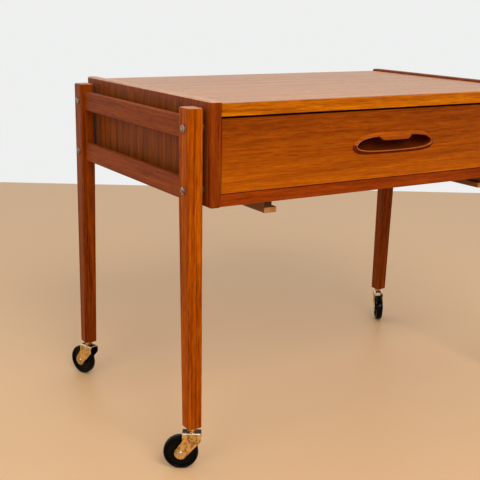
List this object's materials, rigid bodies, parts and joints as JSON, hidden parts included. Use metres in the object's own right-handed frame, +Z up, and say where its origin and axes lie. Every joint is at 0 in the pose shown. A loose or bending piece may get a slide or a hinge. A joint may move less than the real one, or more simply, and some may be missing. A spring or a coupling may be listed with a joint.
{
  "type": "sewing table",
  "caption": "Low sewing table on castors: a teak box with lipped sides and one drawer with a carved pull, hung between two open leg frames, with basket runners beneath.",
  "frame": {"origin": "on the floor under the middle of the carcase", "axes": "+X to the right along the width, the drawer opens towards -Y, +Z up"},
  "size_m": [0.7192, 0.4547, 0.52],
  "materials": {
    "teak_side": "oiled teak veneer, grain upright, satin",
    "teak_top": "oiled teak veneer, grain left to right, satin sheen",
    "teak_front": "oiled teak veneer, grain left to right, satin",
    "teak_pull": "carved solid teak, oiled",
    "teak_leg": "solid teak, grain lengthwise, satin",
    "teak_rail": "solid teak, grain lengthwise, matt",
    "beech": "bare beech, planed",
    "drawer_beech": "waxed beech, smooth",
    "plywood": "birch plywood, sanded",
    "brass": "brass plating, scratched and dulled",
    "steel": "nickelled steel, slightly dulled",
    "black_plastic": "moulded black plastic, glossy, scuffed tread"
  },
  "bodies": {
    "carcase": {"side_panel_left": "teak_side", "side_panel_right": "teak_side", "top_board": "teak_top", "bottom_board": "teak_front", "back_panel": "teak_side", "carcase_dowels": "beech", "drawer_runner_left": "beech", "drawer_runner_right": "beech", "drawer_stops": "beech", "basket_runner_left": "beech", "basket_runner_right": "beech", "runner_screws": "brass", "leg_front_left": "teak_leg", "leg_back_left": "teak_leg", "leg_front_right": "teak_leg", "leg_back_right": "teak_leg", "rail_upper_left": "teak_rail", "rail_upper_right": "teak_rail", "rail_lower_left": "teak_rail", "rail_lower_right": "teak_rail", "leg_screws": "steel", "leg_spacers": "steel", "castor_socket_front_left": "brass", "castor_socket_back_left": "brass", "castor_socket_front_right": "brass", "castor_socket_back_right": "brass"},
    "drawer": {"drawer_front": "teak_front", "drawer_side_left": "drawer_beech", "drawer_side_right": "drawer_beech", "drawer_back": "drawer_beech", "drawer_bottom": "plywood", "drawer_pull": "teak_pull"},
    "castor_front_left": {"castor_stem_front_left": "brass", "castor_fork_front_left": "brass", "castor_axle_front_left": "steel"},
    "wheel_front_left": {"castor_wheel_front_left": "black_plastic"},
    "castor_back_left": {"castor_stem_back_left": "brass", "castor_fork_back_left": "brass", "castor_axle_back_left": "steel"},
    "wheel_back_left": {"castor_wheel_back_left": "black_plastic"},
    "castor_front_right": {"castor_stem_front_right": "brass", "castor_fork_front_right": "brass", "castor_axle_front_right": "steel"},
    "wheel_front_right": {"castor_wheel_front_right": "black_plastic"},
    "castor_back_right": {"castor_stem_back_right": "brass", "castor_fork_back_right": "brass", "castor_axle_back_right": "steel"},
    "wheel_back_right": {"castor_wheel_back_right": "black_plastic"}
  },
  "joints": [
    {"name": "drawer_slide", "type": "slide", "parent": "carcase", "child": "drawer", "axis": [0, -1, 0], "range_m": [0, 0.3]},
    {"name": "swivel_front_left", "type": "hinge", "parent": "carcase", "child": "castor_front_left", "pos_m": [-0.32625, -0.1915, 0.063], "axis": [0, 0, 1], "continuous": true},
    {"name": "roll_front_left", "type": "hinge", "parent": "castor_front_left", "child": "wheel_front_left", "pos_m": [-0.33947, -0.1834, 0.025], "axis": [-0.5225, -0.8526, 0], "continuous": true},
    {"name": "swivel_back_left", "type": "hinge", "parent": "carcase", "child": "castor_back_left", "pos_m": [-0.32625, 0.1915, 0.063], "axis": [0, 0, 1], "continuous": true},
    {"name": "roll_back_left", "type": "hinge", "parent": "castor_back_left", "child": "wheel_back_left", "pos_m": [-0.33181, 0.20597, 0.025], "axis": [-0.9336, -0.3584, 0], "continuous": true},
    {"name": "swivel_front_right", "type": "hinge", "parent": "carcase", "child": "castor_front_right", "pos_m": [0.32625, -0.1915, 0.063], "axis": [0, 0, 1], "continuous": true},
    {"name": "roll_front_right", "type": "hinge", "parent": "castor_front_right", "child": "wheel_front_right", "pos_m": [0.33662, -0.20302, 0.025], "axis": [0.7431, 0.6691, 0], "continuous": true},
    {"name": "swivel_back_right", "type": "hinge", "parent": "carcase", "child": "castor_back_right", "pos_m": [0.32625, 0.1915, 0.063], "axis": [0, 0, 1], "continuous": true},
    {"name": "roll_back_right", "type": "hinge", "parent": "castor_back_right", "child": "wheel_back_right", "pos_m": [0.31815, 0.17828, 0.025], "axis": [0.8526, -0.5225, 0], "continuous": true}
  ]
}
